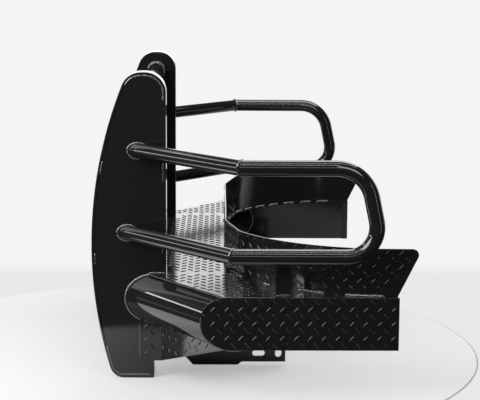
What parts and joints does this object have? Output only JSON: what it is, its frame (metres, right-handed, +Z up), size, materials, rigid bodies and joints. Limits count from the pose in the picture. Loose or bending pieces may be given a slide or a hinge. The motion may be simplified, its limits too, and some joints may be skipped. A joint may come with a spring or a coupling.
{
  "type": "front grille guard",
  "caption": "Welded steel front bumper and grille guard with bullnose pipe, tread-plate wings and deck, headlight loops and slotted frame plates, coated gloss black.",
  "frame": {"origin": "on the ground, in the centre plane, half way along the overall length", "axes": "+Z up, -Y forward on the truck, +X to the truck's left side"},
  "size_m": [2.0508, 1.079, 1.065],
  "materials": {
    "panel_coat": "gloss black powder coat on smooth plate",
    "tube_coat": "gloss black powder coat on round tube",
    "tread_plate": "gloss black powder coat on raised-lug tread plate",
    "flat_bar_coat": "satin black powder coat on thick flat bar and frame plate"
  },
  "bodies": {
    "root": {"centre_pipe": "tube_coat", "deck_centre": "tread_plate", "deck_wing_left": "tread_plate", "deck_wing_right": "tread_plate", "frame_bracket_left": "flat_bar_coat", "frame_bracket_right": "flat_bar_coat", "grille_bar_1": "tube_coat", "grille_bar_2": "tube_coat", "grille_bar_3": "tube_coat", "grille_bar_4": "tube_coat", "grille_bar_5": "tube_coat", "grille_screen": "panel_coat", "headlight_loop_left": "tube_coat", "headlight_loop_right": "tube_coat", "loop_post_left": "flat_bar_coat", "loop_post_right": "flat_bar_coat", "lower_stay_left": "tube_coat", "lower_stay_right": "tube_coat", "riser_centre": "tread_plate", "riser_side_left": "tread_plate", "riser_side_right": "tread_plate", "top_cross_tube": "tube_coat", "upper_stay_left": "tube_coat", "upper_stay_right": "tube_coat", "upright_edge_band_left": "panel_coat", "upright_edge_band_right": "panel_coat", "upright_inner_skin_left": "panel_coat", "upright_inner_skin_right": "panel_coat", "upright_outer_skin_left": "panel_coat", "upright_outer_skin_right": "panel_coat", "valance_centre": "tread_plate", "valance_side_left": "tread_plate", "valance_side_right": "tread_plate", "wing_edge_bar_left": "flat_bar_coat", "wing_edge_bar_right": "flat_bar_coat", "wing_pipe_left": "tube_coat", "wing_pipe_right": "tube_coat", "wing_side_plate_left": "tread_plate", "wing_side_plate_right": "tread_plate"}
  },
  "joints": []
}
